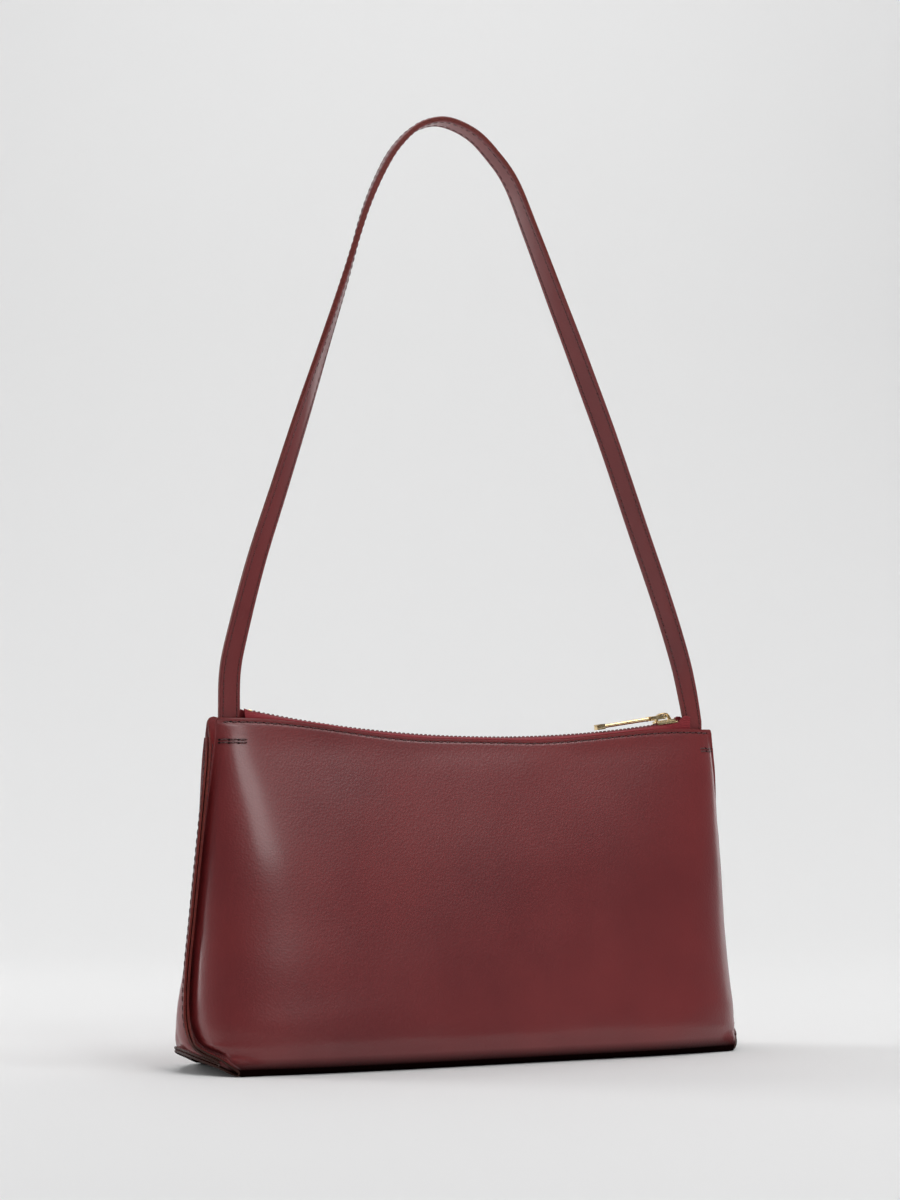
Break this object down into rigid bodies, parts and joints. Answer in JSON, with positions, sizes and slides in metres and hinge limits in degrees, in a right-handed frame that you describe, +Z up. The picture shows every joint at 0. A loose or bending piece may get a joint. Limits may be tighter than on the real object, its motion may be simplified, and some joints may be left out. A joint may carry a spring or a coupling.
{
  "type": "shoulder bag",
  "caption": "Small leather shoulder bag with a dipped zip mouth, a wrapped body sewn to trumpet-shaped gussets, and one narrow twisted strap.",
  "frame": {"origin": "under the middle of the bag, on the surface that it stands on", "axes": "+Z up, -Y toward the front face, +X toward the end where the closed zip slider rests"},
  "size_m": [0.3088, 0.088, 0.4671],
  "materials": {
    "burgundy_leather": "glossy smooth grain",
    "strap_leather": "satin",
    "burgundy_thread": "matte",
    "zip_tape": "matte woven",
    "zip_teeth": "satin",
    "pale_gold": "polished",
    "cotton_lining": "matte",
    "base_board": "matte"
  },
  "bodies": {
    "bag": {"body_panel": "burgundy_leather", "gusset_left": "burgundy_leather", "gusset_right": "burgundy_leather", "facing_front": "burgundy_leather", "facing_back": "burgundy_leather", "lining_front": "cotton_lining", "lining_back": "cotton_lining", "base_board": "base_board", "bar_tack_front_left": "burgundy_thread", "bar_tack_front_right": "burgundy_thread", "bar_tack_back_left": "burgundy_thread", "bar_tack_back_right": "burgundy_thread", "zip_tape_front": "zip_tape", "zip_tape_back": "zip_tape", "zip_teeth_front": "zip_teeth", "zip_teeth_back": "zip_teeth", "zip_bottom_stop": "pale_gold", "zip_top_stop_front": "pale_gold", "zip_top_stop_back": "pale_gold", "strap_end_left": "strap_leather", "strap_end_right": "strap_leather"},
    "slider": {"zip_slider": "pale_gold"},
    "puller": {"puller_fork": "pale_gold", "puller_rod": "pale_gold", "puller_ferrule": "pale_gold"},
    "strap": {"strap_face": "strap_leather", "strap_backing": "strap_leather"}
  },
  "joints": [
    {"name": "zip_travel", "type": "hinge", "parent": "bag", "child": "slider", "pos_m": [0, 0, 0.85544], "axis": [0, 1, 0], "range_deg": [0, 16], "deforming": ["zip_tape_front", "zip_tape_back", "zip_teeth_front", "zip_teeth_back"]},
    {"name": "puller_flip", "type": "hinge", "parent": "slider", "child": "puller", "pos_m": [0.11284, 0, 0.16875], "axis": [0, 1, 0], "range_deg": [0, 85]},
    {"name": "strap_fold", "type": "hinge", "parent": "bag", "child": "strap", "pos_m": [0, 0, 0.1665], "axis": [1, 0, 0], "range_deg": [-105, 105]}
  ]
}
